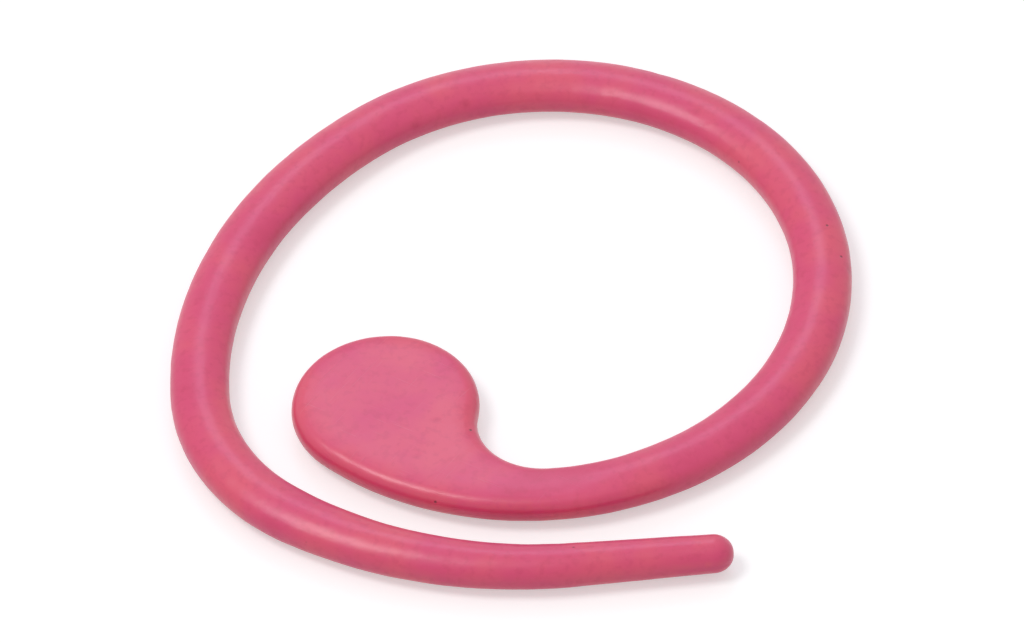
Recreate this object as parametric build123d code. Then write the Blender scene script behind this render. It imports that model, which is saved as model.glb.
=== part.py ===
from build123d import *
import os
from math import acos, cos, degrees, radians, sin

# Open ring stitch marker: a bent steel wire with a flat drop-shaped paddle at
# one end and a tapered tail at the other, under an even coat of coloured nylon.
# Sizes are millimetres and degrees, and the sizes of the steel are bare ones.

# Steel wire, with rounded edges and a crowned top and underside
wire_width = 1.30
wire_height = 0.86
side_height = 0.06
edge_share = 0.72

# Bends along the middle of the wire, from the paddle round to the tail
ring_bend_radius = 7.65
ring_bend_angle = 262.5
flank_bend_angle = 54.5
corner_bend_angle = 51.0
tail_bend_angle = 39.5
tail_run = 3.7

# How much wider than the ring the flank and the tail bend, and how much tighter
# the corner does, so that the gap beside the neck stays when the ring grows
flank_flare = 3.85
corner_tuck = 1.8
tail_flare = 4.05

# Rounded tip, to which the last bend and the run taper
tip_width = 0.82
tip_height_share = 0.84

# Paddle, whose outer edge runs on from the ring's, and its neck
paddle_angle = 228.9
paddle_radius = 2.38
paddle_thickness = 0.58
notch_radius = 2.00
neck_ramp_angle = 25.0

# Nylon coat over all of the steel
coat_thickness = 0.15


def polar(radius, angle):
    """Point on a circle round the middle of the ring bend."""
    return Vector(radius * cos(radians(angle)), radius * sin(radians(angle)))


def bend_after(edge, radius, angle):
    """Bend that runs on smoothly from the end of a path edge."""
    return JernArc(edge @ 1, edge % 1, radius, angle)


def across(edge, share):
    """Plane square to a path edge, with its X axis level and its Y axis up."""
    along = edge % share
    return Plane(origin=edge @ share, x_dir=Vector(-along.Y, along.X), z_dir=along)


# The paddle's disc touches the ring's outer edge from inside, and the notch
# touches the disc and the ring's inner edge
disc_offset = ring_bend_radius + wire_width / 2 - paddle_radius
notch_offset = ring_bend_radius - wire_width / 2 - notch_radius
notch_reach = paddle_radius + notch_radius
root_cosine = (disc_offset**2 + notch_offset**2 - notch_reach**2) / (2 * disc_offset * notch_offset)
root_angle = degrees(acos(root_cosine))
disc_middle = polar(disc_offset, -root_angle)
notch_middle = Vector(notch_offset, 0)
paddle_rim_radius = (paddle_thickness - side_height) / 2

# Path of the wire's middle, from the end of the paddle's root, which is on the
# X axis, to the middle of the tip's rounding
neck_path = CenterArc((0, 0), ring_bend_radius, 0, neck_ramp_angle)
ring_path = bend_after(neck_path, ring_bend_radius, ring_bend_angle - root_angle - neck_ramp_angle)
flank_path = bend_after(ring_path, ring_bend_radius + flank_flare, flank_bend_angle)
corner_path = bend_after(flank_path, ring_bend_radius - corner_tuck, corner_bend_angle)
tail_path = bend_after(corner_path, ring_bend_radius + tail_flare, tail_bend_angle)
run_path = Line(tail_path @ 1, tail_path @ 1 + tail_run * (tail_path % 1))

# Sizes of the section at the tip and where the tapered bend meets the run
tip_height = tip_height_share * tip_width
taper_share = tail_path.length / (tail_path.length + run_path.length)
taper_width = wire_width + (tip_width - wire_width) * taper_share
taper_height = wire_height + (tip_height - wire_height) * taper_share


def edge_radius(height):
    """Bare radius of the four rounded edges of a section."""
    return edge_share * (height - side_height) / 2


def crowned_section(plane, width, height, skin):
    """Section of the wire: short upright sides, rounded edges and crowns."""
    radius = edge_radius(height) + skin
    top = Vector(0, height / 2 + skin)
    corner = Vector(width / 2 - edge_radius(height), side_height / 2)
    rise = top.Y - corner.Y - radius
    crown_radius = (corner.X**2 + (top.Y - corner.Y) ** 2 - radius**2) / (2 * rise)
    crown_middle = Vector(0, top.Y - crown_radius)
    side_top = Vector(corner.X + radius, corner.Y)
    shoulder = corner + radius * (corner - crown_middle).normalized()
    edge = RadiusArc(side_top, shoulder, -radius)
    crown = ThreePointArc(shoulder, top, Vector(-shoulder.X, shoulder.Y))
    side = Line(Vector(side_top.X, -side_top.Y), side_top)
    upper = Curve() + [edge, crown, mirror(edge, Plane.YZ)]
    return plane * make_face([*upper.edges(), *mirror(upper, Plane.XZ).edges(), side, mirror(side, Plane.YZ)])


def root_section(plane, skin):
    """Flat-topped section where the neck leaves the paddle."""
    width = wire_width + 2 * skin
    thickness = paddle_thickness + 2 * skin
    return plane * RectangleRounded(width, thickness, paddle_rim_radius + skin)


def paddle_outline(skin):
    """Plan of the disc, its notch and the root of the neck."""
    outer_radius = ring_bend_radius + wire_width / 2 + skin
    inner_radius = ring_bend_radius - wire_width / 2 - skin
    disc_radius = paddle_radius + skin
    notch_start = disc_middle + disc_radius * (notch_middle - disc_middle).normalized()
    touch = polar(outer_radius, -root_angle)
    outer = RadiusArc(Vector(outer_radius, 0), touch, outer_radius)
    disc = ThreePointArc(touch, polar(disc_offset - disc_radius, -root_angle), notch_start)
    notch = RadiusArc(notch_start, Vector(inner_radius, 0), -(notch_radius - skin))
    return make_face([outer, disc, notch, Line(notch @ 1, outer @ 0)])


def paddle(skin):
    """Flat paddle with a rounded rim, up to the end of its root."""
    thickness = paddle_thickness + 2 * skin
    plate = extrude(paddle_outline(skin), thickness / 2, both=True)
    curved = plate.edges().filter_by(GeomType.CIRCLE)
    rims = curved.group_by(Axis.Z)[0] + curved.group_by(Axis.Z)[-1]
    return fillet(rims, paddle_rim_radius + skin)


def neck(skin):
    """Ramp from the paddle's thickness up to the wire's."""
    start = root_section(across(neck_path, 0), skin)
    end = crowned_section(across(neck_path, 1), wire_width, wire_height, skin)
    return sweep([start, end], path=neck_path, multisection=True)


def ring(skin):
    """Wire of one section round the three bends."""
    start = crowned_section(across(ring_path, 0), wire_width, wire_height, skin)
    return sweep(start, path=Wire([ring_path, flank_path, corner_path]))


def tail(skin):
    """Tapered bend and run, whose end is turned round to a half circle."""
    start = crowned_section(across(tail_path, 0), wire_width, wire_height, skin)
    middle = crowned_section(across(tail_path, 1), taper_width, taper_height, skin)
    tip_plane = across(run_path, 1)
    tip = crowned_section(tip_plane, tip_width, tip_height, skin)
    half_tip = split(tip, bisect_by=Plane(origin=tip_plane.origin, z_dir=tip_plane.x_dir))
    turning = Axis(origin=tip_plane.origin, direction=-tip_plane.y_dir)
    bend = sweep([start, middle], path=tail_path, multisection=True)
    return bend + loft([middle, tip]) + revolve(half_tip, turning, 180)


def marker(skin):
    """Whole marker, grown from the bare steel by an even skin."""
    return paddle(skin) + neck(skin) + ring(skin) + tail(skin)


steel = marker(0)
coated = marker(coat_thickness)

# The marker lies flat and turned to the paddle's angle, with the origin under
# the middle of its outer box
turn = Rot(0, 0, paddle_angle + root_angle)
box = (turn * coated).bounding_box()
seat = Pos(-box.center().X, -box.center().Y, -box.min.Z) * turn

os.makedirs("parts", exist_ok=True)
export_step(seat * steel, "parts/wire_core.step")
export_step(seat * (coated - steel), "parts/colour_coat.step")
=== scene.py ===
"""Looks of an open ring stitch marker: a bent steel wire under a satin nylon coat.

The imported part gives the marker's place and outer box. The coat is lofted again as one
smooth skin, from the flat drop-shaped paddle to the rounded tip, with the unevenness of a
sprayed and baked coat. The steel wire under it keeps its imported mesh. Lengths are metres.
"""

import logging
from dataclasses import dataclass, field, replace
from enum import Enum
from math import acos, asin, atan2, ceil, cos, pi, radians, sin, sqrt

import bmesh
import bpy
from mathutils import Matrix, Vector

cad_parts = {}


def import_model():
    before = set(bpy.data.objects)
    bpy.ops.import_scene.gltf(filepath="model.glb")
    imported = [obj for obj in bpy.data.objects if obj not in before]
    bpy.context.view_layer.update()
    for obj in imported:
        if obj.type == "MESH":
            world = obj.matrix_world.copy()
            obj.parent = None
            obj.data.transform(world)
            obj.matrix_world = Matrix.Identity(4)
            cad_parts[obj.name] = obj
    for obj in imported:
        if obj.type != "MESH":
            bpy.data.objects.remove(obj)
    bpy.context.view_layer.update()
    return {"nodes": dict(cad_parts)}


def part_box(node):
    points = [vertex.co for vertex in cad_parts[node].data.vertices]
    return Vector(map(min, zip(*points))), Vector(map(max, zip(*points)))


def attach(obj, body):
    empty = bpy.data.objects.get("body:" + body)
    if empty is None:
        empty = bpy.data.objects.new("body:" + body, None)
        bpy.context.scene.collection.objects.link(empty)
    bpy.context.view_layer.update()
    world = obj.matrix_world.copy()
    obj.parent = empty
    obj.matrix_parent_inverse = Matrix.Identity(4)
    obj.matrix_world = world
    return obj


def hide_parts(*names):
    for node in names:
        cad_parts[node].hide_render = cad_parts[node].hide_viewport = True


LOG = logging.getLogger("stitch_marker")
MM = 0.001
UP = Vector((0.0, 0.0, 1.0))
WHITE = (1.0, 1.0, 1.0, 1.0)

# What a node's input takes, a colour with its alpha, and the two ends of a range.
Feed = bpy.types.NodeSocket | float | int | bool | str | tuple
Colour = tuple[float, float, float, float]
Band = tuple[float, float]


def heading(angle: float) -> Vector:
    """Unit vector in the plan at an angle from the X axis, in radians."""
    return Vector((cos(angle), sin(angle), 0.0))


def eased(share: float) -> float:
    """Smooth step from 0 to 1."""
    return share * share * (3 - 2 * share)


class CoatColour(Enum):
    """Colours in which the coat is sprayed: plain, where it lies thin, and where it lies thick."""

    PINK = ((0.770, 0.058, 0.178), (0.820, 0.086, 0.165), (0.600, 0.030, 0.105))
    TURQUOISE = ((0.215, 0.620, 0.660), (0.300, 0.690, 0.700), (0.130, 0.480, 0.540))
    YELLOW = ((0.810, 0.640, 0.030), (0.860, 0.720, 0.080), (0.700, 0.500, 0.012))
    GREEN = ((0.360, 0.620, 0.065), (0.430, 0.680, 0.110), (0.250, 0.480, 0.035))
    LILAC = ((0.578, 0.328, 0.680), (0.640, 0.400, 0.730), (0.440, 0.225, 0.560))
    ORANGE = ((0.871, 0.328, 0.070), (0.900, 0.400, 0.120), (0.740, 0.230, 0.035))

    @property
    def plain(self) -> Colour:
        """The coat's own colour."""
        return (*self.value[0], 1.0)

    @property
    def thin(self) -> Colour:
        """The lighter colour of a thin or rubbed coat."""
        return (*self.value[1], 1.0)

    @property
    def thick(self) -> Colour:
        """The deeper colour of a thick coat."""
        return (*self.value[2], 1.0)


class Attribute(Enum):
    """Names and kinds of what each rib of the skin carries."""

    OUTER = ("outer", "FLOAT_VECTOR")
    INNER = ("inner", "FLOAT_VECTOR")
    OUTER_INWARD = ("outer_inward", "FLOAT_VECTOR")
    INNER_INWARD = ("inner_inward", "FLOAT_VECTOR")
    EDGE_RADIUS = ("edge_radius", "FLOAT")
    EDGE_TURN = ("edge_turn", "FLOAT")
    CROWN_ANGLE = ("crown_angle", "FLOAT")
    PADDLE = ("paddle", "FLOAT")
    HANDLING = ("handling", "FLOAT")

    @property
    def label(self) -> str:
        """The attribute's name on the mesh."""
        return self.value[0]

    @property
    def kind(self) -> str:
        """The attribute's data type."""
        return self.value[1]


class Mark(Enum):
    """Names of what each point of the skin carries for the finish."""

    RUBBED = "rubbed"
    FACE = "paddle_face"
    PIT = "pit"


class Graph:
    """Adds and links the nodes of one tree in a few words."""

    def __init__(self, tree: bpy.types.NodeTree) -> None:
        """Keeps the tree that the calls add to."""
        self.tree = tree

    def feed(self, socket: bpy.types.NodeSocket, value: Feed) -> None:
        """Links a socket to an input, or sets the input to a plain value.

        Args:
            socket: The input.
            value: An output socket, or the value itself.
        """
        if isinstance(value, bpy.types.NodeSocket):
            self.tree.links.new(value, socket)
        else:
            socket.default_value = value

    def add(self, kind: str, feeds: dict[str | int, Feed] | None = None, **settings: Feed) -> bpy.types.Node:
        """Adds a node.

        Args:
            kind: The node's type.
            feeds: What goes into its inputs, by name or number.
            settings: The node's own options.

        Returns:
            The new node.
        """
        node = self.tree.nodes.new(kind)
        for name, value in settings.items():
            setattr(node, name, value)
        for key, value in (feeds or {}).items():
            self.feed(node.inputs[key], value)
        return node

    def math(self, operation: str, *values: Feed, clamp: bool = False) -> bpy.types.NodeSocket:
        """Result of a Math node, kept between 0 and 1 if it is clamped."""
        feeds = dict(enumerate(values))
        return self.add("ShaderNodeMath", feeds, operation=operation, use_clamp=clamp).outputs[0]

    def vector(self, operation: str, *values: Feed) -> bpy.types.NodeSocket:
        """Result of a Vector Math node, which is a number for a distance or a length."""
        node = self.add("ShaderNodeVectorMath", dict(enumerate(values)), operation=operation)
        return node.outputs["Value" if operation in ("DISTANCE", "LENGTH") else "Vector"]

    def scaled(self, vector: Feed, factor: Feed) -> bpy.types.NodeSocket:
        """Vector multiplied by a number."""
        feeds = {0: vector, "Scale": factor}
        return self.add("ShaderNodeVectorMath", feeds, operation="SCALE").outputs["Vector"]

    def between(self, start: Feed, end: Feed, share: Feed) -> bpy.types.NodeSocket:
        """Point at a share of the way from one point to another."""
        return self.vector("ADD", start, self.scaled(self.vector("SUBTRACT", end, start), share))

    def ramp(
        self, value: Feed, low: Feed, high: Feed, to: tuple[Feed, Feed] = (0.0, 1.0)
    ) -> bpy.types.NodeSocket:
        """Smooth step between two results, as the value goes from low to high."""
        feeds = {"Value": value, "From Min": low, "From Max": high, "To Min": to[0], "To Max": to[1]}
        return self.add("ShaderNodeMapRange", feeds, interpolation_type="SMOOTHSTEP").outputs[0]

    def noise(self, place: Feed, size: float, detail: float = 2.0) -> bpy.types.NodeSocket:
        """Noise from 0 to 1, with blotches of a given size and finer layers of detail."""
        feeds = {"Vector": place, "Scale": 1.0 / size, "Detail": detail}
        return self.add("ShaderNodeTexNoise", feeds).outputs[0]

    def tint(self, share: Feed, first: Feed, second: Feed) -> bpy.types.NodeSocket:
        """Mixes two colours.

        Args:
            share: Share of the second.
            first: The first colour.
            second: The second colour.

        Returns:
            The mixed colour.
        """
        node = self.add("ShaderNodeMix", data_type="RGBA")
        for name, value in (("Factor_Float", share), ("A_Color", first), ("B_Color", second)):
            self.feed(next(s for s in node.inputs if s.identifier == name), value)
        return next(s for s in node.outputs if s.identifier == "Result_Color")


def new_material(name: str) -> tuple[bpy.types.Material, Graph, bpy.types.Node]:
    """Makes a material of one principled shader.

    Args:
        name: The material's name.

    Returns:
        The material, its graph and the shader's node.
    """
    material = bpy.data.materials.new(name)
    material.use_nodes = True
    return material, Graph(material.node_tree), material.node_tree.nodes["Principled BSDF"]


@dataclass(frozen=True)
class NylonFinish:
    """Satin-glossy baked nylon: mottled pigment, a soft orange peel, specks and hairline scratches.

    Attributes:
        colour: The coat's colour.
        roughness: Roughness of a clean stretch.
        roughness_spread: How much the roughness wanders.
        mottle_size: Size of the blotches of the pigment.
        grain_size: Size of its fine grain.
        peel_size: Size of the orange peel's dimples.
        peel_depth: Depth of the dimples.
        skin_size: Size of the finest unevenness.
        skin_depth: Depth of the finest unevenness.
        speck_spacing: Spacing of the cells that may hold a dark speck.
        speck_radius: Radius of a speck.
        speck_core: Share of its radius within which a speck is fully dark.
        speck_gaps: Share of the cells that hold none.
        speck_colour: Colour of a speck.
        speck_depth: Depth of a speck, in depths of the orange peel's dimples.
        scratch_width: Width of a hairline scratch.
        scratch_length: Length of a hairline scratch.
        scratch_depth: Depth of a hairline scratch.
        scratch_colour: Colour that a scratch turns towards.
        scratch_turns: The two directions of the scratches.
        scratch_dullness: How much rougher a scratch is.
        wire_scratches: How strong the scratches are on the wire, as a share of the paddle's.
        thin_band: Mottle over which the coat's colour goes from thin to plain.
        thick_band: Mottle over which it goes on towards thick.
        grain_band: Grain over which it goes towards thick.
        worn_band: Grain over which rubbed places go from dull to polished.
        worn_range: How much of the wear shows at the two ends of that band.
        line_band: Noise over which a scratch starts.
        mottle_share: How much of the thick colour the mottle brings.
        grain_share: How much of the thick colour the grain brings.
        scratch_share: How much of their colour the scratches bring.
        pit_share: How much of the thick colour the pits bring.
        speck_share: How much of their colour the specks bring.
        polish: How much smoother a worn place is.
        ior: Refraction of the nylon.
        clear_weight: Weight of the clear skin that the baking leaves on top.
        clear_roughness: Roughness of the clear skin.
    """

    colour: CoatColour = CoatColour.PINK
    roughness: float = 0.37
    roughness_spread: float = 0.16
    mottle_size: float = 2.2 * MM
    grain_size: float = 0.22 * MM
    peel_size: float = 0.36 * MM
    peel_depth: float = 0.013 * MM
    skin_size: float = 0.07 * MM
    skin_depth: float = 0.0006 * MM
    speck_spacing: float = 0.42 * MM
    speck_radius: float = 0.055 * MM
    speck_core: float = 0.25
    speck_gaps: float = 0.90
    speck_colour: Colour = (0.10, 0.012, 0.020, 1.0)
    speck_depth: float = 1.2
    scratch_width: float = 0.035 * MM
    scratch_length: float = 1.6 * MM
    scratch_depth: float = 0.0025 * MM
    scratch_colour: Colour = (0.88, 0.66, 0.70, 1.0)
    scratch_turns: tuple[float, float] = (radians(28.0), radians(-57.0))
    scratch_dullness: float = 0.18
    wire_scratches: float = 0.10
    thin_band: Band = (0.34, 0.62)
    thick_band: Band = (0.56, 0.74)
    grain_band: Band = (0.48, 0.70)
    worn_band: Band = (0.35, 0.65)
    worn_range: Band = (0.25, 0.75)
    line_band: Band = (0.69, 0.77)
    mottle_share: float = 0.30
    grain_share: float = 0.24
    scratch_share: float = 0.08
    pit_share: float = 0.55
    speck_share: float = 0.80
    polish: float = 0.05
    ior: float = 1.53
    clear_weight: float = 0.18
    clear_roughness: float = 0.25

    def hairlines(self, graph: Graph, place: Feed, turn: float) -> bpy.types.NodeSocket:
        """Fine lines that run in one direction of the plan.

        Args:
            graph: The material's graph.
            place: Object coordinates.
            turn: Direction of the lines, in radians.

        Returns:
            1 on a line and 0 off it.
        """
        stretch = (1.0 / self.scratch_length, 1.0 / self.scratch_width, 1.0 / self.scratch_length)
        feeds = {"Vector": place, "Angle": turn}
        turned = graph.add("ShaderNodeVectorRotate", feeds, rotation_type="Z_AXIS").outputs[0]
        lines = graph.noise(graph.vector("MULTIPLY", turned, stretch), size=1.0, detail=1.0)
        return graph.ramp(lines, *self.line_band)

    def scratches(self, graph: Graph, place: Feed, face: Feed) -> bpy.types.NodeSocket:
        """Hairline scratches, which show on the paddle's faces and hardly on the wire.

        Args:
            graph: The material's graph.
            place: Object coordinates.
            face: 1 on the paddle's faces and 0 elsewhere.

        Returns:
            How strong a scratch is at each place, from 0 to 1.
        """
        lines = (self.hairlines(graph, place, turn) for turn in self.scratch_turns)
        strength = graph.math("MULTIPLY_ADD", face, 1.0 - self.wire_scratches, self.wire_scratches)
        return graph.math("MULTIPLY", graph.math("MAXIMUM", *lines), strength)

    def specks(self, graph: Graph, place: Feed) -> bpy.types.NodeSocket:
        """Tiny dark pinholes, scattered by chance.

        Args:
            graph: The material's graph.
            place: Object coordinates.

        Returns:
            1 in a speck and 0 beside it.
        """
        cells = graph.add("ShaderNodeTexVoronoi", {"Vector": place, "Scale": 1.0 / self.speck_spacing})
        reach = self.speck_radius / self.speck_spacing
        dot = graph.ramp(cells.outputs["Distance"], self.speck_core * reach, reach, (1.0, 0.0))
        chance = graph.add("ShaderNodeSeparateColor", {0: cells.outputs["Color"]}).outputs[0]
        return graph.math("MULTIPLY", dot, graph.math("GREATER_THAN", chance, self.speck_gaps))

    def material(self) -> bpy.types.Material:
        """Makes the coat's material.

        Returns:
            The material.
        """
        made, graph, shader = new_material("satin_nylon_" + self.colour.name.lower())
        place = graph.add("ShaderNodeTexCoord").outputs["Object"]
        rubbed, face, pit = (
            graph.add("ShaderNodeAttribute", attribute_name=mark.value).outputs["Fac"] for mark in Mark
        )
        mottle = graph.noise(place, self.mottle_size, detail=3.0)
        grain = graph.noise(place, self.grain_size)
        speck = self.specks(graph, place)
        lines = self.scratches(graph, place, face)
        worn = graph.math("MULTIPLY", rubbed, graph.ramp(grain, *self.worn_band, self.worn_range))

        colour = graph.tint(graph.ramp(mottle, *self.thin_band), self.colour.thin, self.colour.plain)
        layers = (
            (graph.ramp(mottle, *self.thick_band, (0.0, self.mottle_share)), self.colour.thick),
            (graph.ramp(grain, *self.grain_band, (0.0, self.grain_share)), self.colour.thick),
            (worn, self.colour.thin),
            (graph.math("MULTIPLY", lines, self.scratch_share), self.scratch_colour),
            (graph.math("MULTIPLY", pit, self.pit_share), self.colour.thick),
            (graph.math("MULTIPLY", speck, self.speck_share), self.speck_colour),
        )
        for share, layer in layers:
            colour = graph.tint(share, colour, layer)
        graph.feed(shader.inputs["Base Color"], colour)

        least = self.roughness - self.roughness_spread / 2
        wander = graph.math("MULTIPLY_ADD", mottle, self.roughness_spread, least)
        wander = graph.math("MULTIPLY_ADD", lines, self.scratch_dullness, wander)
        graph.feed(shader.inputs["Roughness"], graph.math("MULTIPLY_ADD", worn, -self.polish, wander))
        shader.inputs["IOR"].default_value = self.ior
        shader.inputs["Coat Weight"].default_value = self.clear_weight
        shader.inputs["Coat Roughness"].default_value = self.clear_roughness

        # Scratches and specks are dents in the same bump as the dimples of the orange peel.
        peel = graph.noise(place, self.peel_size, detail=1.0)
        skin = graph.noise(place, self.skin_size)
        dents = graph.math("MULTIPLY_ADD", lines, -self.scratch_depth / self.peel_depth, peel)
        dents = graph.math("MULTIPLY_ADD", speck, -self.speck_depth, dents)
        rough = graph.add("ShaderNodeBump", {"Height": dents, "Distance": self.peel_depth}).outputs[0]
        feeds = {"Height": skin, "Distance": self.skin_depth, "Normal": rough}
        graph.feed(shader.inputs["Normal"], graph.add("ShaderNodeBump", feeds).outputs[0])
        return made


@dataclass(frozen=True)
class SteelFinish:
    """Bare drawn steel: fine lines round the ring, and the tumbled dullness between them.

    Attributes:
        bright: Colour of the burnished lines.
        dull: Colour between them.
        line_width: Spacing of the drawing lines across the wire.
        line_length: Length of a line.
        line_depth: Depth of the lines.
        blotch_size: Size of the dull blotches.
        contrast: Noise over which lines and blotches go from one end to the other.
        roughness: Roughness of burnished and of dull steel.
    """

    bright: Colour = (0.70, 0.69, 0.66, 1.0)
    dull: Colour = (0.50, 0.49, 0.47, 1.0)
    line_width: float = 0.04 * MM
    line_length: float = 4.0 * MM
    line_depth: float = 0.002 * MM
    blotch_size: float = 0.6 * MM
    contrast: Band = (0.3, 0.7)
    roughness: Band = (0.24, 0.42)

    def material(self, middle: Vector, radius: float) -> bpy.types.Material:
        """Makes the wire's material.

        Args:
            middle: Middle of the ring, round which the lines run.
            radius: Radius of the ring's bend.

        Returns:
            The material.
        """
        made, graph, shader = new_material("drawn_steel")
        place = graph.add("ShaderNodeTexCoord").outputs["Object"]
        offset = graph.vector("SUBTRACT", place, tuple(middle))
        x, y, z = graph.add("ShaderNodeSeparateXYZ", {0: offset}).outputs
        round_ring = graph.math("MULTIPLY", graph.math("ARCTAN2", y, x), radius / self.line_length)
        level = graph.add("ShaderNodeCombineXYZ", {0: x, 1: y}).outputs[0]
        out = graph.math("DIVIDE", graph.vector("LENGTH", level), self.line_width)
        up = graph.math("DIVIDE", z, self.line_width)
        drawn = graph.add("ShaderNodeCombineXYZ", {0: round_ring, 1: out, 2: up}).outputs[0]
        lines = graph.noise(drawn, size=1.0, detail=3.0)
        blotches = graph.noise(place, self.blotch_size, detail=3.0)
        colour = graph.tint(graph.ramp(lines, *self.contrast), self.dull, self.bright)
        graph.feed(shader.inputs["Base Color"], colour)
        graph.feed(shader.inputs["Roughness"], graph.ramp(blotches, *self.contrast, self.roughness))
        shader.inputs["Metallic"].default_value = 1.0
        bump = graph.add("ShaderNodeBump", {"Height": lines, "Distance": self.line_depth})
        graph.feed(shader.inputs["Normal"], bump.outputs[0])
        return made


@dataclass(frozen=True)
class Bend:
    """One round stretch of the wire's middle line, anticlockwise about its middle.

    Attributes:
        middle: Middle of the bend.
        radius: Radius of the wire's middle line.
        start: Angle at which it starts, in radians.
        sweep: Angle that it goes through.
    """

    middle: Vector
    radius: float
    start: float
    sweep: float

    @property
    def end(self) -> float:
        """Angle at which it ends."""
        return self.start + self.sweep

    @property
    def length(self) -> float:
        """Length of the middle line."""
        return self.radius * self.sweep

    def after(self, radius: float, sweep: float) -> "Bend":
        """Bend of another radius and sweep that runs on smoothly from this one."""
        return Bend(self.middle + (self.radius - radius) * heading(self.end), radius, self.end, sweep)


@dataclass(frozen=True)
class Section:
    """Crowned section of the wire, or the flat-topped one of the paddle.

    Attributes:
        half_width: Half of its width.
        edge_radius: Radius of its rounded edges.
        crown_angle: Slope at which the crown meets an edge, in radians.
    """

    half_width: float
    edge_radius: float
    crown_angle: float

    @property
    def edge_turn(self) -> float:
        """Angle that an edge turns through, from upright to the crown."""
        return pi / 2 - self.crown_angle

    @property
    def shoulder_offset(self) -> float:
        """Distance of the crown's ends from the middle."""
        return self.half_width - self.edge_radius * (1 - sin(self.crown_angle))

    def towards(self, other: "Section", share: float) -> "Section":
        """Section between this one and another.

        Args:
            other: The other section.
            share: Share of the way to it.

        Returns:
            The section between them.
        """
        return Section(
            self.half_width + (other.half_width - self.half_width) * share,
            self.edge_radius + (other.edge_radius - self.edge_radius) * share,
            self.crown_angle + (other.crown_angle - self.crown_angle) * share,
        )


@dataclass(frozen=True)
class Rib:
    """One station of the skin, from the marker's outer edge across to its inner edge.

    Attributes:
        outer: Point on the outer edge, in the plan.
        inner: Point on the inner edge.
        outer_inward: Unit vector from the outer edge into the material.
        inner_inward: Unit vector from the inner edge into the material.
        edge_radius: Radius of the rounded edges.
        edge_turn: Angle that an edge turns through, from upright to the crown.
        crown_angle: Slope at the ends of the crown, along the rib.
        handling: How much fingers and yarn rub it, from 0 to 1.
        paddle: 1 on the paddle and 0 on the wire.
    """

    outer: Vector
    inner: Vector
    outer_inward: Vector
    inner_inward: Vector
    edge_radius: float
    edge_turn: float
    crown_angle: float
    handling: float
    paddle: float = 0.0

    def placed(self, place: Matrix) -> "Rib":
        """The rib moved and turned into its place.

        Args:
            place: The matrix that moves it.

        Returns:
            The placed rib.
        """
        turn = place.to_3x3()
        return replace(
            self,
            outer=place @ self.outer,
            inner=place @ self.inner,
            outer_inward=turn @ self.outer_inward,
            inner_inward=turn @ self.inner_inward,
        )


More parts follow.
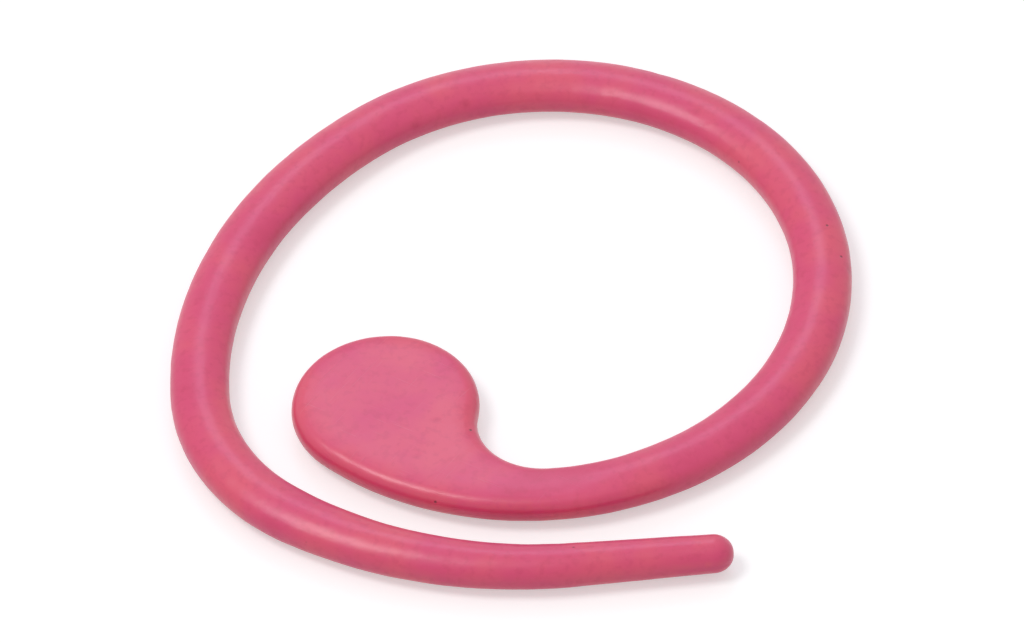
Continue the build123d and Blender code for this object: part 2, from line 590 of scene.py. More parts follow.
@dataclass(frozen=True)
class MarkerForm:
    """Sizes of the bare steel marker, and the ribs of a skin at any distance over it.

    The ribs start at the far end of the paddle and end at the tip. They are worked out with
    the middle of the ring's bend at the origin and the neck's start on the X axis.

    Attributes:
        wire_width: Width of the wire.
        wire_height: Height of the wire.
        side_height: Height of the upright sides between the rounded edges.
        edge_share: Radius of the edges as a share of the height above the sides.
        ring_bend_radius: Radius of the ring's bend, at the wire's middle.
        ring_bend_angle: Angle of the ring's bend, from the paddle's middle.
        flank_bend_angle: Angle of the bend that opens the ring out.
        corner_bend_angle: Angle of the bend that turns the free end back.
        tail_bend_angle: Angle of the bend that leads the tail past the neck.
        tail_run: Length of the straight run, up to the middle of the tip's rounding.
        flank_flare: How much wider than the ring the flank bends.
        corner_tuck: How much tighter than the ring the corner bends.
        tail_flare: How much wider than the ring the tail bends.
        tip_width: Width of the rounded tip.
        tip_height_share: Height of the tip as a share of its width.
        paddle_angle: Where the paddle's middle is, seen from the middle of the ring's bend.
        paddle_radius: Radius of the paddle's disc.
        paddle_thickness: Thickness of the paddle.
        notch_radius: Radius of the notch between the paddle and the neck.
        neck_ramp_angle: Angle over which the neck rises from the paddle to the wire.
        flat_angle: Slope that stands for a flat top.
        rib_pitch: Spacing of the ribs along the wire.
        tip_ribs: Ribs over the rounding of the tip.
        wire_handling: How much the wire is rubbed.
        root_handling: How much the neck's root is rubbed.
    """

    wire_width: float = 1.30 * MM
    wire_height: float = 0.86 * MM
    side_height: float = 0.06 * MM
    edge_share: float = 0.72
    ring_bend_radius: float = 7.65 * MM
    ring_bend_angle: float = radians(262.5)
    flank_bend_angle: float = radians(54.5)
    corner_bend_angle: float = radians(51.0)
    tail_bend_angle: float = radians(39.5)
    tail_run: float = 3.7 * MM
    flank_flare: float = 3.85 * MM
    corner_tuck: float = 1.8 * MM
    tail_flare: float = 4.05 * MM
    tip_width: float = 0.82 * MM
    tip_height_share: float = 0.84
    paddle_angle: float = radians(228.9)
    paddle_radius: float = 2.38 * MM
    paddle_thickness: float = 0.58 * MM
    notch_radius: float = 2.00 * MM
    neck_ramp_angle: float = radians(25.0)
    flat_angle: float = radians(0.5)
    rib_pitch: float = 0.10 * MM
    tip_ribs: int = 14
    wire_handling: float = 0.3
    root_handling: float = 0.8

    @property
    def disc_offset(self) -> float:
        """Distance of the disc's middle from the middle of the ring's bend."""
        return self.ring_bend_radius + self.wire_width / 2 - self.paddle_radius

    @property
    def notch_offset(self) -> float:
        """Distance of the notch's middle from the middle of the ring's bend."""
        return self.ring_bend_radius - self.wire_width / 2 - self.notch_radius

    @property
    def root_angle(self) -> float:
        """Angle between the disc's middle and the notch's middle.

        Returns:
            The angle at which the disc and the notch touch.
        """
        reach = self.paddle_radius + self.notch_radius
        squares = self.disc_offset**2 + self.notch_offset**2 - reach**2
        return acos(squares / (2 * self.disc_offset * self.notch_offset))

    @property
    def turn(self) -> float:
        """Angle that turns the neck's start from the X axis into its place."""
        return self.paddle_angle + self.root_angle

    @property
    def disc_middle(self) -> Vector:
        """Middle of the paddle's disc."""
        return self.disc_offset * heading(-self.root_angle)

    @property
    def notch_middle(self) -> Vector:
        """Middle of the notch."""
        return self.notch_offset * heading(0.0)

    def crowned(self, width: float, height: float, skin: float) -> Section:
        """Section of the wire.

        Args:
            width: Width of the bare wire.
            height: Height of the bare wire.
            skin: Distance of the skin over the steel.

        Returns:
            The section at that distance.
        """
        edge = self.edge_share * (height - self.side_height) / 2
        corner_x = width / 2 - edge
        corner_y = self.side_height / 2
        rise = height / 2 - corner_y - edge
        crown_radius = (corner_x**2 + (height / 2 - corner_y) ** 2 - edge**2) / (2 * rise)
        crown_angle = atan2(corner_x, corner_y - height / 2 + crown_radius)
        return Section(width / 2 + skin, edge + skin, crown_angle)

    def flat(self, skin: float) -> Section:
        """Section of the neck where it leaves the paddle, at a distance over the steel."""
        rim = (self.paddle_thickness - self.side_height) / 2
        return Section(self.wire_width / 2 + skin, rim + skin, self.flat_angle)

    def rib(
        self,
        outer: Vector,
        inner: Vector,
        outer_inward: Vector,
        inner_inward: Vector,
        section: Section,
        **marks: float,
    ) -> Rib:
        """Rib between two points of the outline.

        Args:
            outer: Point on the outer edge.
            inner: Point on the inner edge.
            outer_inward: Unit vector from the outer edge into the material.
            inner_inward: Unit vector from the inner edge into the material.
            section: The section there.
            **marks: The rib's other values.

        Returns:
            The rib.
        """
        values = {
            "edge_radius": section.edge_radius,
            "edge_turn": section.edge_turn,
            "crown_angle": section.crown_angle,
            "handling": self.wire_handling,
            **marks,
        }
        return Rib(outer, inner, outer_inward, inner_inward, **values)

    def disc_ribs(self, skin: float) -> list[Rib]:
        """Ribs over the free part of the disc, from its far end to the root.

        Args:
            skin: Distance of the skin over the steel.

        Returns:
            The ribs.
        """
        to_notch = self.notch_middle - self.disc_middle
        notch_side = atan2(to_notch.y, to_notch.x)
        outer_side = -self.root_angle
        half = pi - (notch_side - outer_side) / 2
        far_end = outer_side - half
        radius = self.paddle_radius + skin
        section = self.flat(skin)
        count = ceil(half * radius / self.rib_pitch)
        ribs = []
        for step in range(count):
            outer_way = heading(far_end + half * step / count)
            inner_way = heading(far_end - half * step / count)
            outer = self.disc_middle + radius * outer_way
            inner = self.disc_middle + radius * inner_way
            ribs.append(self.rib(outer, inner, -outer_way, -inner_way, section, paddle=1.0, handling=1.0))
        return ribs

    def root_ribs(self, skin: float) -> list[Rib]:
        """Ribs between the disc and the neck, beside the notch.

        Args:
            skin: Distance of the skin over the steel.

        Returns:
            The ribs.
        """
        to_disc = self.disc_middle - self.notch_middle
        notch_start = atan2(to_disc.y, to_disc.x)
        outer_radius = self.ring_bend_radius + self.wire_width / 2 + skin
        inner_radius = self.notch_radius - skin
        section = self.flat(skin)
        count = ceil(self.root_angle * outer_radius / self.rib_pitch)
        ribs = []
        for step in range(count):
            left = 1 - step / count
            outer_way = heading(-self.root_angle * left)
            inner_way = heading(notch_start * left)
            outer = outer_radius * outer_way
            inner = self.notch_middle + inner_radius * inner_way
            marks = {"paddle": 1.0, "handling": self.root_handling}
            ribs.append(self.rib(outer, inner, -outer_way, inner_way, section, **marks))
        return ribs

    def bend_ribs(self, bend: Bend, start: Section, end: Section, paddle: float = 0.0) -> list[Rib]:
        """Ribs along one bend of the wire.

        Args:
            bend: The bend.
            start: Section at its start.
            end: Section at its end.
            paddle: How much of the paddle's finish the start has. With any, the section eases
                over from start to end, and otherwise it changes evenly.

        Returns:
            The ribs, without one at the end.
        """
        count = ceil(bend.length / self.rib_pitch)
        ribs = []
        for step in range(count):
            share = step / count
            if paddle:
                share = eased(share)
            way = heading(bend.start + bend.sweep * step / count)
            middle = bend.middle + bend.radius * way
            section = start.towards(end, share)
            ribs.append(self.wire_rib(middle, way, section, paddle=paddle * (1 - share)))
        return ribs

    def wire_rib(self, middle: Vector, way: Vector, section: Section, **marks: float) -> Rib:
        """Rib square across the wire, whose way points from the ring's inside to its outside."""
        reach = section.half_width * way
        return self.rib(middle + reach, middle - reach, -way, way, section, **marks)

    def run_ribs(self, bend: Bend, start: Section, tip: Section) -> list[Rib]:
        """Ribs along the straight run and over the half circle at its end.

        Args:
            bend: The bend before the run.
            start: Section at the start of the run.
            tip: Section at its end.

        Returns:
            The ribs.
        """
        way = heading(bend.end)
        ahead = UP.cross(way)
        foot = bend.middle + bend.radius * way
        count = ceil(self.tail_run / self.rib_pitch)
        ribs = []
        for step in range(count):
            share = step / count
            rubbed = self.wire_handling + (1 - self.wire_handling) * share * share
            middle = foot + share * self.tail_run * ahead
            ribs.append(self.wire_rib(middle, way, start.towards(tip, share), handling=rubbed))
        centre = foot + self.tail_run * ahead
        # The crown of the turned tip is the cap of a ball, cut by the upright plane of each rib.
        crown_radius = tip.shoulder_offset / sin(tip.crown_angle)
        for step in range(self.tip_ribs + 1):
            angle = pi / 2 * step / self.tip_ribs
            outer_way = cos(angle) * way + sin(angle) * ahead
            inner_way = outer_way - 2 * cos(angle) * way
            across = tip.shoulder_offset * cos(angle)
            ball_radius = sqrt(crown_radius**2 - (tip.shoulder_offset * sin(angle)) ** 2)
            crown = max(asin(across / ball_radius), self.flat_angle)
            outer = centre + tip.half_width * outer_way
            inner = centre + tip.half_width * inner_way
            ribs.append(self.rib(outer, inner, -outer_way, -inner_way, tip, crown_angle=crown, handling=1.0))
        return ribs

    def ribs(self, skin: float) -> list[Rib]:
        """Ribs of the whole marker, from the paddle's far end to the tip.

        Args:
            skin: Distance of the skin over the steel.

        Returns:
            The ribs.
        """
        full = self.crowned(self.wire_width, self.wire_height, skin)
        tip = self.crowned(self.tip_width, self.tip_height_share * self.tip_width, skin)
        neck = Bend(Vector((0.0, 0.0, 0.0)), self.ring_bend_radius, 0.0, self.neck_ramp_angle)
        ring_sweep = self.ring_bend_angle - self.root_angle - self.neck_ramp_angle
        ring = neck.after(self.ring_bend_radius, ring_sweep)
        flank = ring.after(self.ring_bend_radius + self.flank_flare, self.flank_bend_angle)
        corner = flank.after(self.ring_bend_radius - self.corner_tuck, self.corner_bend_angle)
        tail = corner.after(self.ring_bend_radius + self.tail_flare, self.tail_bend_angle)
        taper = tail.length / (tail.length + self.tail_run)
        middle = full.towards(tip, taper)
        found = self.disc_ribs(skin) + self.root_ribs(skin)
        found += self.bend_ribs(neck, self.flat(skin), full, paddle=1.0)
        for bend in (ring, flank, corner):
            found += self.bend_ribs(bend, full, full)
        found += self.bend_ribs(tail, full, middle)
        return found + self.run_ribs(tail, middle, tip)


@dataclass
class SkinTree:
    """Geometry nodes that loft a closed skin over the ribs and give it its unevenness.

    Attributes:
        name: Name of the tree.
        tree: The tree, once it is made.
        inputs: The identifier of each named input.
        crowding: How much the crown's points crowd at its ends, from 0 to 1.
        face_band: Share of a rounded edge over which the paddle's face begins.
        noise_band: Noise over which waves and ripples go from none to full.
        pit_spread: Size of the smallest pits, as a share of the plain one.
    """

    name: str = "coat_skin"
    tree: bpy.types.NodeTree | None = None
    inputs: dict[str, str] = field(default_factory=dict)
    crowding: float = 0.6
    face_band: Band = (0.5, 1.0)
    noise_band: Band = (0.2, 0.8)
    pit_spread: float = 0.5

    def make(self) -> "SkinTree":
        """Builds the tree with its named inputs.

        Returns:
            This object, with its tree.
        """
        self.tree = bpy.data.node_groups.new(self.name, "GeometryNodeTree")
        kinds = {
            "Ribs": "Geometry",
            "Crown Steps": "Int",
            "Edge Steps": "Int",
            "Side Height": "Float",
            "Middle Height": "Float",
            "Weld Distance": "Float",
            "Rim Drop": "Float",
            "Rim Reach": "Float",
            "Wave Size": "Float",
            "Wave Depth": "Float",
            "Ripple Size": "Float",
            "Ripple Depth": "Float",
            "Pit Density": "Float",
            "Pit Radius": "Float",
            "Pit Depth": "Float",
            "Seed": "Int",
            "Finish": "Material",
        }
        for name, kind in kinds.items():
            socket = self.tree.interface.new_socket(name, in_out="INPUT", socket_type="NodeSocket" + kind)
            self.inputs[name] = socket.identifier
        self.tree.interface.new_socket("Skin", in_out="OUTPUT", socket_type="NodeSocketGeometry")
        graph = Graph(self.tree)
        given = graph.add("NodeGroupInput").outputs
        skin = self.loft(graph, given)
        skin = self.uneven(graph, given, skin)
        real = graph.add("GeometryNodeRealizeInstances", {0: skin}).outputs[0]
        smooth = graph.add("GeometryNodeSetShadeSmooth", {0: real}).outputs[0]
        dressed = graph.add("GeometryNodeSetMaterial", {0: smooth, "Material": given["Finish"]}).outputs[0]
        graph.add("NodeGroupOutput", {0: dressed})
        return self

    def grid(self, graph: Graph, given: bpy.types.NodeOutputs) -> tuple[bpy.types.NodeSocket, ...]:
        """Lays a flat grid with one row of points for each rib, and counts its points.

        Args:
            graph: The tree's graph.
            given: The tree's inputs.

        Returns:
            The grid, and for each point its rib, its step from the outer edge over to the inner
            one, that step counted from the inner edge, and 1 above or -1 below the middle.
        """
        # A row goes over the top from the outer edge to the inner one and back underneath, and its
        # last point repeats the first. The first and the last row have no width. Welding closes all.
        half = graph.math("MULTIPLY_ADD", given["Edge Steps"], 2.0, given["Crown Steps"])
        loop = graph.math("MULTIPLY_ADD", half, 2.0, 2.0)
        columns = graph.math("ADD", loop, 1.0)
        rib_count = graph.add("GeometryNodeAttributeDomainSize", {0: given["Ribs"]}).outputs["Point Count"]
        feeds = {"Vertices X": rib_count, "Vertices Y": columns}
        grid = graph.add("GeometryNodeMeshGrid", feeds).outputs["Mesh"]

        index = graph.add("GeometryNodeInputIndex").outputs[0]
        rib = graph.math("FLOOR", graph.math("DIVIDE", graph.math("ADD", index, 0.5), columns))
        column = graph.math("SUBTRACT", index, graph.math("MULTIPLY", rib, columns))
        column = graph.math("MODULO", column, loop)
        back = graph.math("SUBTRACT", graph.math("SUBTRACT", loop, 1.0), column)
        step = graph.math("MINIMUM", column, back)
        side = graph.math("MULTIPLY_ADD", graph.math("GREATER_THAN", column, half), -2.0, 1.0)
        return grid, rib, step, graph.math("SUBTRACT", half, step), side

    def carried(self, graph: Graph, ribs: Feed, rib: Feed, kind: Attribute) -> bpy.types.NodeSocket:
        """What each point's rib carries under an attribute's name.

        Args:
            graph: The tree's graph.
            ribs: The ribs.
            rib: The number of the point's rib.
            kind: The attribute.

        Returns:
            The value.
        """
        named = graph.add("GeometryNodeInputNamedAttribute", {"Name": kind.label}, data_type=kind.kind)
        sample = graph.add("GeometryNodeSampleIndex", data_type=kind.kind, domain="POINT")
        graph.feed(sample.inputs["Geometry"], ribs)
        graph.feed(sample.inputs["Value"], named.outputs[0])
        graph.feed(sample.inputs["Index"], rib)
        return sample.outputs[0]

    def inset(self, graph: Graph, radius: Feed, turned: Feed) -> bpy.types.NodeSocket:
        """How far a rounded edge has come in, once it has turned through an angle from upright."""
        left = graph.math("SUBTRACT", 1.0, graph.math("COSINE", turned))
        return graph.math("MULTIPLY", radius, left)

    def arch(self, graph: Graph, angle: Feed, over: Feed) -> bpy.types.NodeSocket:
        """Rise of a round crown over its ends, in halves of its span.

        Args:
            graph: The tree's graph.
            angle: Slope at the crown's ends.
            over: Share of the crown's turn, from its outer end.

        Returns:
            The rise.
        """
        rise = graph.math("SINE", graph.math("MULTIPLY", angle, graph.math("SUBTRACT", 1.0, over)))
        rise = graph.math("MULTIPLY", rise, graph.math("SINE", graph.math("MULTIPLY", angle, over)))
        return graph.math("MULTIPLY", graph.math("DIVIDE", rise, graph.math("SINE", angle)), 2.0)

    def rim_rise(self, graph: Graph, drop: Feed, inset: Feed, reach: Feed) -> bpy.types.NodeSocket:
        """Rise of the paddle's face, which climbs the whole drop on a parabola as wide as the reach."""
        left = graph.math("SUBTRACT", 1.0, graph.math("DIVIDE", inset, reach, clamp=True))
        return graph.math("MULTIPLY", drop, graph.math("SUBTRACT", 1.0, graph.math("MULTIPLY", left, left)))

    def from_outline(self, graph: Graph, ribs: Feed, plan: Feed) -> bpy.types.NodeSocket:
        """Distance in the plan from the nearest end of a rib.

        Args:
            graph: The tree's graph.
            ribs: The ribs.
            plan: The place in the plan.

        Returns:
            The distance.
        """
        ends = graph.add("GeometryNodeJoinGeometry")
        for attribute in (Attribute.OUTER, Attribute.INNER):
            feeds = {"Name": attribute.label}
            named = graph.add("GeometryNodeInputNamedAttribute", feeds, data_type=attribute.kind)
            feeds = {"Geometry": ribs, "Position": named.outputs[0]}
            graph.feed(ends.inputs[0], graph.add("GeometryNodeSetPosition", feeds).outputs[0])
        near = graph.add("GeometryNodeProximity", {0: ends.outputs[0], 2: plan}, target_element="POINTS")
        return near.outputs["Distance"]

    def loft(self, graph: Graph, given: bpy.types.NodeOutputs) -> bpy.types.NodeSocket:
        """Wraps the grid round the ribs as a closed skin.

        Args:
            graph: The tree's graph.
            given: The tree's inputs.

        Returns:
            The closed skin, with the marks for its finish.
        """
        skin, rib, step, steps_left, side = self.grid(graph, given)
        carried = {kind: self.carried(graph, given["Ribs"], rib, kind) for kind in Attribute}
        angle = carried[Attribute.CROWN_ANGLE]
        radius = carried[Attribute.EDGE_RADIUS]
        paddle = carried[Attribute.PADDLE]

        # The edge turns less by the slope at the face's rim, so that the two meet without a crease.
        drop = graph.math("MULTIPLY", given["Rim Drop"], paddle)
        rim_slope = graph.math("MULTIPLY", graph.math("DIVIDE", drop, given["Rim Reach"]), 2.0)
        edge_turn = graph.math("SUBTRACT", carried[Attribute.EDGE_TURN], rim_slope)

        # The crown's points crowd towards its ends.
        from_outer = graph.math("DIVIDE", step, given["Edge Steps"], clamp=True)
        from_inner = graph.math("DIVIDE", steps_left, given["Edge Steps"], clamp=True)
        on_crown = graph.math("SUBTRACT", step, given["Edge Steps"])
        over = graph.math("DIVIDE", on_crown, given["Crown Steps"], clamp=True)
        even = graph.math("MULTIPLY", over, 1.0 - self.crowding)
        over = graph.math("MULTIPLY_ADD", graph.ramp(over, 0.0, 1.0), self.crowding, even)

        inset = self.inset(graph, radius, graph.math("MULTIPLY", edge_turn, from_outer))
        inward = graph.scaled(carried[Attribute.OUTER_INWARD], inset)
        outer = graph.vector("ADD", carried[Attribute.OUTER], inward)
        inset = self.inset(graph, radius, graph.math("MULTIPLY", edge_turn, from_inner))
        inward = graph.scaled(carried[Attribute.INNER_INWARD], inset)
        inner = graph.vector("ADD", carried[Attribute.INNER], inward)
        slant = graph.math("MULTIPLY", angle, graph.math("MULTIPLY_ADD", over, -2.0, 1.0))
        reach = graph.math("DIVIDE", graph.math("SINE", slant), graph.math("SINE", angle))
        across = graph.math("MULTIPLY_ADD", reach, -0.5, 0.5)
        plan = graph.between(outer, inner, across)

        half_span = graph.math("MULTIPLY", graph.vector("DISTANCE", outer, inner), 0.5)
        edge_share = graph.math("MINIMUM", from_outer, from_inner)
        edge_rise = graph.math("SINE", graph.math("MULTIPLY", edge_turn, edge_share))
        edge_rise = graph.math("MULTIPLY", graph.math("SUBTRACT", radius, drop), edge_rise)
        from_rim = self.from_outline(graph, given["Ribs"], plan)
        from_rim = graph.math("SUBTRACT", from_rim, self.inset(graph, radius, edge_turn))
        from_rim = graph.math("MAXIMUM", from_rim, 0.0)
        rise = graph.math("ADD", edge_rise, self.rim_rise(graph, drop, from_rim, given["Rim Reach"]))
        height = graph.math("MULTIPLY_ADD", given["Side Height"], 0.5, rise)
        height = graph.math("MULTIPLY_ADD", half_span, self.arch(graph, angle, over), height)
        height = graph.math("MULTIPLY_ADD", height, side, given["Middle Height"])
        place = graph.vector("ADD", plan, graph.add("ShaderNodeCombineXYZ", {2: height}).outputs[0])

        # The wear peaks halfway round an edge, where four times the product of its shares is 1.
        rounded = graph.math("MULTIPLY", edge_share, graph.math("SUBTRACT", 1.0, edge_share))
        rubbed = graph.math("MULTIPLY", graph.math("MULTIPLY", rounded, 4.0), carried[Attribute.HANDLING])
        face = graph.math("MULTIPLY", paddle, graph.ramp(edge_share, *self.face_band))
        skin = self.marked(graph, skin, Mark.RUBBED, rubbed)
        skin = self.marked(graph, skin, Mark.FACE, face)
        skin = graph.add("GeometryNodeSetPosition", {"Geometry": skin, "Position": place}).outputs[0]
        weld = {"Geometry": skin, "Distance": given["Weld Distance"]}
        return graph.add("GeometryNodeMergeByDistance", weld).outputs[0]

    def marked(self, graph: Graph, skin: Feed, mark: Mark, value: Feed) -> bpy.types.NodeSocket:
        """Stores a value on the skin's points for the finish.

        Args:
            graph: The tree's graph.
            skin: The skin.
            mark: The name that it is stored under.
            value: The value at each point.

        Returns:
            The skin with the mark.
        """
        feeds = {"Geometry": skin, "Name": mark.value, "Value": value}
        settings = {"data_type": "FLOAT", "domain": "POINT"}
        return graph.add("GeometryNodeStoreNamedAttribute", feeds, **settings).outputs[0]

    def uneven(self, graph: Graph, given: bpy.types.NodeOutputs, skin: Feed) -> bpy.types.NodeSocket:
        """Sinks the skin a little by waves, ripples and pits, and raises it nowhere.

        Args:
            graph: The tree's graph.
            given: The tree's inputs.
            skin: The plain skin.

        Returns:
            The uneven skin.
        """
        place = graph.add("GeometryNodeInputPosition").outputs[0]
        moved = graph.vector("ADD", place, graph.add("ShaderNodeCombineXYZ", {2: given["Seed"]}).outputs[0])

        def noise(size: Feed) -> bpy.types.NodeSocket:
            """Soft noise from 0 to 1, with blotches of a given size."""
            feeds = {"Vector": moved, "Scale": graph.math("DIVIDE", 1.0, size), "Detail": 1.0}
            return graph.ramp(graph.add("ShaderNodeTexNoise", feeds).outputs[0], *self.noise_band)

        sunk = graph.math("MULTIPLY", noise(given["Wave Size"]), given["Wave Depth"])
        sunk = graph.math("MULTIPLY_ADD", noise(given["Ripple Size"]), given["Ripple Depth"], sunk)
        feeds = {"Mesh": skin, "Density": given["Pit Density"], "Seed": given["Seed"]}
        points = graph.add("GeometryNodeDistributePointsOnFaces", feeds).outputs["Points"]
        near = graph.add("GeometryNodeProximity", {"Geometry": points}, target_element="POINTS")
        spread = graph.math("ADD", noise(given["Wave Size"]), self.pit_spread)
        reach = graph.math("MULTIPLY", given["Pit Radius"], spread)
        pit = graph.ramp(near.outputs["Distance"], 0.0, reach, (1.0, 0.0))
        sunk = graph.math("MULTIPLY_ADD", pit, given["Pit Depth"], sunk)

        skin = self.marked(graph, skin, Mark.PIT, pit)
        normal = graph.add("GeometryNodeInputNormal").outputs[0]
        offset = graph.scaled(normal, graph.math("MULTIPLY", sunk, -1.0))
        return graph.add("GeometryNodeSetPosition", {"Geometry": skin, "Offset": offset}).outputs[0]

    def run(
        self, ribs: bpy.types.Object, values: dict[str, float | int | bpy.types.Material]
    ) -> bpy.types.Mesh:
        """Bakes the skin over a rib mesh into a plain mesh.

        Args:
            ribs: The object whose points are the ribs.
            values: The value of each named input.

        Returns:
            The skin's mesh.
        """
        modifier = ribs.modifiers.new(self.name, "NODES")
        modifier.node_group = self.tree
        for name, value in values.items():
            modifier[self.inputs[name]] = value
        evaluated = ribs.evaluated_get(bpy.context.evaluated_depsgraph_get())
        baked = bpy.data.meshes.new_from_object(evaluated)
        ribs.modifiers.remove(modifier)
        return baked


@dataclass
class NylonCoat:
    """The coat: a closed shell whose outer skin shows and whose inner skin follows the steel.

    Attributes:
        form: Sizes of the steel that it covers.
        finish: The coat's finish.
        thickness: Thickness of the coat.
        crown_steps: Faces across the crown.
        edge_steps: Faces on each rounded edge.
        inner_pitch: Spacing of the ribs on the hidden inner skin.
        inner_steps: Faces across the crown of the inner skin, twice as many as on its edges.
        weld_distance: Distance under which points of the seams are merged.
        rim_drop: How much lower the paddle's faces lie at their rim.
        rim_reach: Width of the band over which they fall to it.
        wave_size: Size of the coat's slow waves.
        wave_depth: Depth of the waves.
        ripple_size: Size of its small ripples.
        ripple_depth: Depth of the ripples.
        pit_density: Pits on each square metre.
        pit_radius: Radius of a pit.
        pit_depth: Depth of a pit.
        seed: Seed of what is scattered by chance.
    """

    form: MarkerForm
    finish: NylonFinish
    thickness: float = 0.15 * MM
    crown_steps: int = 30
    edge_steps: int = 7
    inner_pitch: float = 0.3 * MM
    inner_steps: int = 8
    weld_distance: float = 0.001 * MM
    rim_drop: float = 0.030 * MM
    rim_reach: float = 0.50 * MM
    wave_size: float = 1.9 * MM
    wave_depth: float = 0.012 * MM
    ripple_size: float = 0.5 * MM
    ripple_depth: float = 0.005 * MM
    pit_density: float = 7.0e4
    pit_radius: float = 0.16 * MM
    pit_depth: float = 0.014 * MM
    seed: int = 7

    def place(self, node: str) -> Matrix:
        """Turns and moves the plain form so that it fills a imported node's box.

        Args:
            node: Name of the node that the coat stands for.

        Returns:
            The matrix of that move.
        """
        lowest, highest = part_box(node)
        turned = Matrix.Rotation(self.form.turn, 4, "Z")
        edges = [turned @ p for rib in self.form.ribs(self.thickness) for p in (rib.outer, rib.inner)]
        spans = [[edge[axis] for edge in edges] for axis in range(3)]
        middle = Vector([(min(span) + max(span)) / 2 for span in spans])
        return Matrix.Translation((lowest + highest) / 2 - middle) @ turned

    def rib_object(self, form: MarkerForm, skin: float, place: Matrix) -> bpy.types.Object:
        """Makes an object whose points are the ribs, each with its values.

        Args:
            form: Sizes of the marker.
            skin: Distance of the skin over the steel.
            place: The matrix of the ribs' place.

        Returns:
            The object.
        """
        ribs = [rib.placed(place) for rib in form.ribs(skin)]
        flat = Vector((1.0, 1.0, 0.0))
        mesh = bpy.data.meshes.new("ribs")
        mesh.from_pydata([rib.outer for rib in ribs], [], [])
        for attribute in Attribute:
            layer = mesh.attributes.new(attribute.label, attribute.kind, "POINT")
            for item, rib in zip(layer.data, ribs):
                if attribute.kind == "FLOAT_VECTOR":
                    item.vector = getattr(rib, attribute.label) * flat
                else:
                    item.value = getattr(rib, attribute.label)
        holder = bpy.data.objects.new("ribs", mesh)
        bpy.context.scene.collection.objects.link(holder)
        return holder

    def skin(
        self, tree: SkinTree, outside: bool, place: Matrix, material: bpy.types.Material
    ) -> bpy.types.Mesh:
        """Lofts the outer or the inner skin.

        Args:
            tree: The geometry nodes.
            outside: Whether it is the outer skin.
            place: The matrix of its place.
            material: The finish's material.

        Returns:
            The skin's mesh.
        """
        form = self.form if outside else replace(self.form, rib_pitch=self.inner_pitch)
        holder = self.rib_object(form, self.thickness if outside else 0.0, place)
        lively = 1.0 if outside else 0.0
        values = {
            "Crown Steps": self.crown_steps if outside else self.inner_steps,
            "Edge Steps": self.edge_steps if outside else self.inner_steps // 2,
            "Side Height": form.side_height,
            "Middle Height": place.translation.z,
            "Weld Distance": self.weld_distance,
            "Rim Drop": self.rim_drop * lively,
            "Rim Reach": self.rim_reach,
            "Wave Size": self.wave_size,
            "Wave Depth": self.wave_depth * lively,
            "Ripple Size": self.ripple_size,
            "Ripple Depth": self.ripple_depth * lively,
            "Pit Density": self.pit_density,
            "Pit Radius": self.pit_radius,
            "Pit Depth": self.pit_depth * lively,
            "Seed": self.seed,
            "Finish": material,
        }
        baked = tree.run(holder, values)
        bpy.data.objects.remove(holder)
        return baked

    def shell(self, outer: bpy.types.Mesh, inner: bpy.types.Mesh) -> bpy.types.Mesh:
        """Joins the two skins, with the inner one's faces turned towards the steel.

        Args:
            outer: The outer skin.
            inner: The inner skin.

        Returns:
            The shell's mesh.
        """
        inner.flip_normals()
        joined = bmesh.new()
        joined.from_mesh(outer)
        joined.from_mesh(inner)
        open_edges = sum(1 for edge in joined.edges if len(edge.link_faces) != 2)
        joined.to_mesh(outer)
        joined.free()
        LOG.info("coat: %d faces, %d open edges", len(outer.polygons), open_edges)
        return outer

    def build(self, node: str, slot: str) -> None:
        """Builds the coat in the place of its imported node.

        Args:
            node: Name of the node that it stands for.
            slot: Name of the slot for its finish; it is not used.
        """
        tree = SkinTree().make()
        place = self.place(node)
        material = self.finish.material()
        outer = self.skin(tree, True, place, material)
        inner = self.skin(tree, False, place, material)
        mesh = self.shell(outer, inner)
        mesh.name = "nylon_coat"
        coat = bpy.data.objects.new("nylon_coat", mesh)
        bpy.context.scene.collection.objects.link(coat)
        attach(coat, "root")
        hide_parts(node)


@dataclass
class SteelWire:
    """The bare wire under the coat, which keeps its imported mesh.

    Attributes:
        form: Sizes of the wire.
        finish: The wire's finish.
    """

    form: MarkerForm
    finish: SteelFinish

    def dress(self, wire: bpy.types.Object, middle: Vector) -> None:
        """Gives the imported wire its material.

        Args:
            wire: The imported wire.
            middle: Middle of the ring's bend.
        """
        material = self.finish.material(middle, self.form.ring_bend_radius)
        for slot in wire.material_slots:
            slot.material = material
        LOG.info("wire: %d faces", len(wire.data.polygons))


def sight_back(azimuth: float, elevation: float) -> Vector:
    """Unit vector from the marker to a viewer, who looks along +Y at 0 and along -X at a quarter turn."""
    return Vector((sin(azimuth) * cos(elevation), -cos(azimuth) * cos(elevation), sin(elevation)))


@dataclass
class Lamp:
    """A square soft lamp that shines at the marker.

    Attributes:
        name: Its name.
        azimuth: Direction that it stands in, as for the camera, in radians.
        elevation: Its angle over the floor.
        distance: Its distance from the marker.
        size: Its side.
        power: Its power in watts.
        colour: Colour of its light.
    """

    name: str
    azimuth: float
    elevation: float
    distance: float
    size: float
    power: float
    colour: tuple[float, float, float] = (1.0, 1.0, 1.0)

    def build(self, target: Vector) -> None:
        """Hangs the lamp.

        Args:
            target: The point that it shines at.
        """
        data = bpy.data.lights.new(self.name, "AREA")
        data.size = self.size
        data.energy = self.power
        data.color = self.colour
        lamp = bpy.data.objects.new(self.name, data)
        back = sight_back(self.azimuth, self.elevation)
        lamp.location = target + self.distance * back
        lamp.rotation_euler = back.to_track_quat("Z", "Y").to_euler()
        bpy.context.scene.collection.objects.link(lamp)


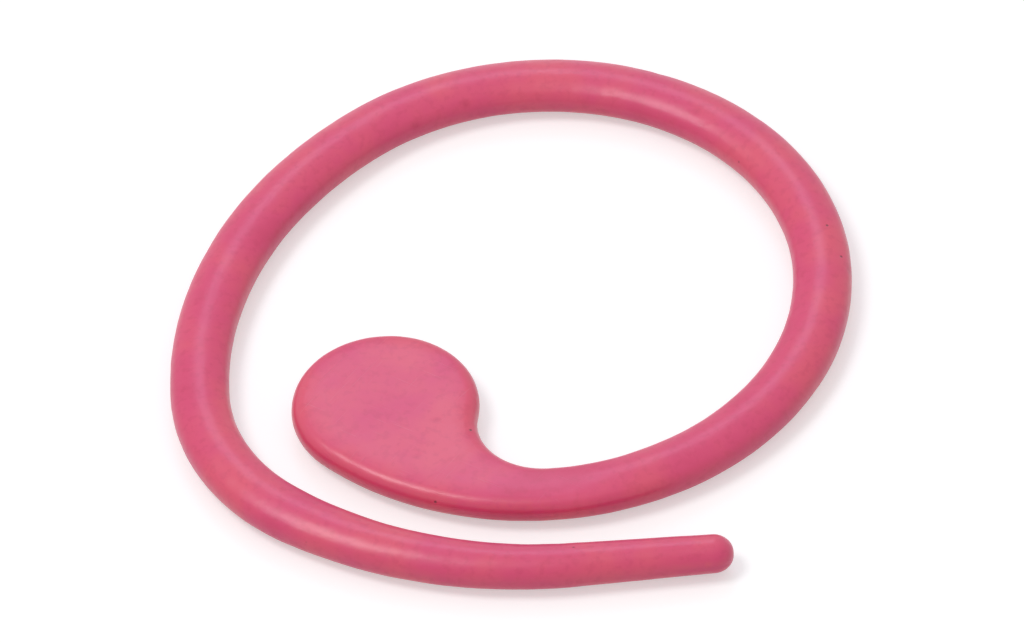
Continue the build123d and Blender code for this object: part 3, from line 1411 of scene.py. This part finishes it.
@dataclass
class Studio:
    """Pale floor, soft lamps and the camera.

    Attributes:
        azimuth: The photograph's line of sight to the marker, in the plan.
        elevation: Its angle over the floor.
        distance: Distance of the camera.
        frame_width: Width that the picture shows at the marker.
        clip_ratio: How many times nearer and farther than the marker the camera sees.
        floor_reach: Half of the floor's side.
        floor_colour: Colour of the floor.
        floor_roughness: Roughness of the floor.
        floor_gloss: Specular level of the floor.
        floor_glow: How much brighter the floor looks in the picture.
        world_level: Strength of the light from all round.
        lamps: The soft lamps.
    """

    azimuth: float = radians(5.6)
    elevation: float = radians(46.0)
    distance: float = 0.515
    frame_width: float = 27.5 * MM
    clip_ratio: float = 10.0
    floor_reach: float = 0.9
    floor_colour: Colour = (0.72, 0.72, 0.72, 1.0)
    floor_roughness: float = 0.9
    floor_gloss: float = 0.1
    floor_glow: float = 0.46
    world_level: float = 0.46
    lamps: tuple[Lamp, ...] = (
        Lamp("key_lamp", radians(281.0), radians(64.0), 0.40, 0.14, 0.46),
        Lamp("overhead_lamp", radians(190.0), radians(78.0), 0.60, 0.80, 0.42),
        Lamp("back_lamp", radians(186.0), radians(46.0), 0.50, 0.16, 0.22, (0.60, 0.70, 1.00)),
    )

    def floor(self) -> None:
        """Lays the floor that the marker lies on."""
        mesh = bpy.data.meshes.new("floor")
        reach = self.floor_reach
        corners = [(-reach, -reach, 0), (reach, -reach, 0), (reach, reach, 0), (-reach, reach, 0)]
        mesh.from_pydata(corners, [], [(0, 1, 2, 3)])
        floor = bpy.data.objects.new("floor", mesh)
        bpy.context.scene.collection.objects.link(floor)
        material, graph, shader = new_material("pale_floor")
        shader.inputs["Base Color"].default_value = self.floor_colour
        shader.inputs["Roughness"].default_value = self.floor_roughness
        shader.inputs["Specular IOR Level"].default_value = self.floor_gloss
        shader.inputs["Emission Color"].default_value = WHITE
        glow = graph.math("MULTIPLY", self.seen(graph), self.floor_glow)
        graph.feed(shader.inputs["Emission Strength"], glow)
        mesh.materials.append(material)

    def seen(self, graph: Graph) -> bpy.types.NodeSocket:
        """1 for rays that see the background straight, by reflection or through glass, and 0 for the rest.

        Args:
            graph: The graph of the background's nodes.

        Returns:
            The switch's value.
        """
        path = graph.add("ShaderNodeLightPath").outputs
        straight = graph.math("MAXIMUM", path["Is Camera Ray"], path["Is Glossy Ray"])
        return graph.math("MAXIMUM", straight, path["Is Transmission Ray"])

    def world(self) -> None:
        """Lights the scene from all round, and shows white where a ray sees past the floor."""
        world = bpy.data.worlds.new("studio")
        world.use_nodes = True
        graph = Graph(world.node_tree)
        background = world.node_tree.nodes["Background"]
        background.inputs["Color"].default_value = WHITE
        graph.feed(background.inputs["Strength"], graph.math("MAXIMUM", self.seen(graph), self.world_level))
        bpy.context.scene.world = world

    def camera(self, target: Vector) -> None:
        """Sets the camera on the photograph's line of sight, with the X axis level in the picture.

        Args:
            target: The point in the middle of the picture.
        """
        data = bpy.data.cameras.new("camera")
        data.lens = data.sensor_width * self.distance / self.frame_width
        data.clip_start = self.distance / self.clip_ratio
        data.clip_end = self.distance * self.clip_ratio
        camera = bpy.data.objects.new("camera", data)
        back = sight_back(self.azimuth, self.elevation)
        level = (Vector((1.0, 0.0, 0.0)) - back * back.x).normalized()
        axes = Matrix((level, back.cross(level), back)).transposed()
        camera.matrix_world = Matrix.Translation(target + self.distance * back) @ axes.to_4x4()
        bpy.context.scene.collection.objects.link(camera)
        bpy.context.scene.camera = camera

    def build(self, target: Vector) -> None:
        """Sets up the studio round the marker.

        Args:
            target: The marker's middle.
        """
        self.floor()
        self.world()
        for lamp in self.lamps:
            lamp.build(target)
        self.camera(target)
        bpy.context.scene.view_settings.view_transform = "Standard"
        LOG.info("studio: %d lamps", len(self.lamps))


def main() -> None:
    """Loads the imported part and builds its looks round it."""
    logging.basicConfig(level=logging.INFO, format="%(name)s %(message)s")
    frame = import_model()
    form = MarkerForm()
    coat = NylonCoat(form, NylonFinish())
    coat.build("colour_coat", "nylon_coat")
    SteelWire(form, SteelFinish()).dress(frame["nodes"]["wire_core"], coat.place("colour_coat").translation)
    lowest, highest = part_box("colour_coat")
    Studio().build((lowest + highest) / 2)


if __name__ == "__main__":
    main()
